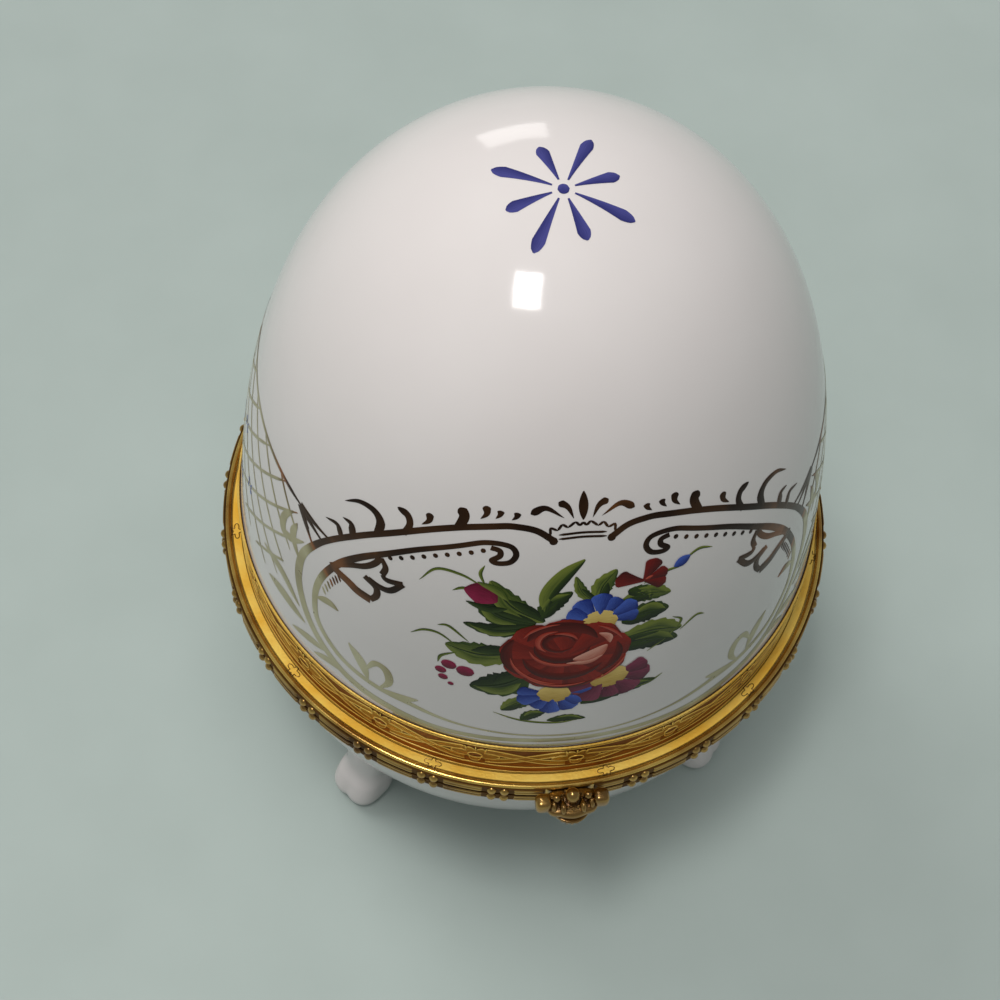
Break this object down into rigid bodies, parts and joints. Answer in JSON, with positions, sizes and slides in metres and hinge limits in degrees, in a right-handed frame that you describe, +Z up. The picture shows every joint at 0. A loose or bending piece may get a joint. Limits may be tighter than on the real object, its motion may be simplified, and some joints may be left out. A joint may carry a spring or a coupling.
{
  "type": "footed porcelain egg box",
  "caption": "Porcelain egg box on small feet, with a hinged dome lid, beaded brass rims, an engraved neck band and a front snap clasp.",
  "frame": {"origin": "on the table under the egg's axis", "axes": "+Z up through the apex, clasp towards -Y, hinge towards +Y"},
  "size_m": [0.0942, 0.1014, 0.1274],
  "materials": {
    "porcelain": "gloss glaze",
    "brass": "gilt, part satin",
    "cement": "matt"
  },
  "bodies": {
    "base": {"base_bowl": "porcelain", "foot_front_left": "porcelain", "foot_front_right": "porcelain", "foot_rear_left": "porcelain", "foot_rear_right": "porcelain", "base_flange_ring": "brass", "base_neck_band": "brass", "base_bead_moulding": "brass", "base_cement_ring": "cement", "hinge_base_leaf": "brass", "hinge_pin": "brass", "clasp_keeper": "brass"},
    "lid": {"lid_shell": "porcelain", "lid_flange_ring": "brass", "lid_neck_band": "brass", "lid_bead_moulding": "brass", "lid_cement_ring": "cement", "hinge_lid_leaf": "brass", "clasp_bow": "brass", "clasp_knot": "brass"}
  },
  "joints": [
    {"name": "lid_hinge", "type": "hinge", "parent": "base", "child": "lid", "pos_m": [0, 0.0491, 0.0458], "axis": [-1, 0, 0], "range_deg": [0, 95]}
  ]
}
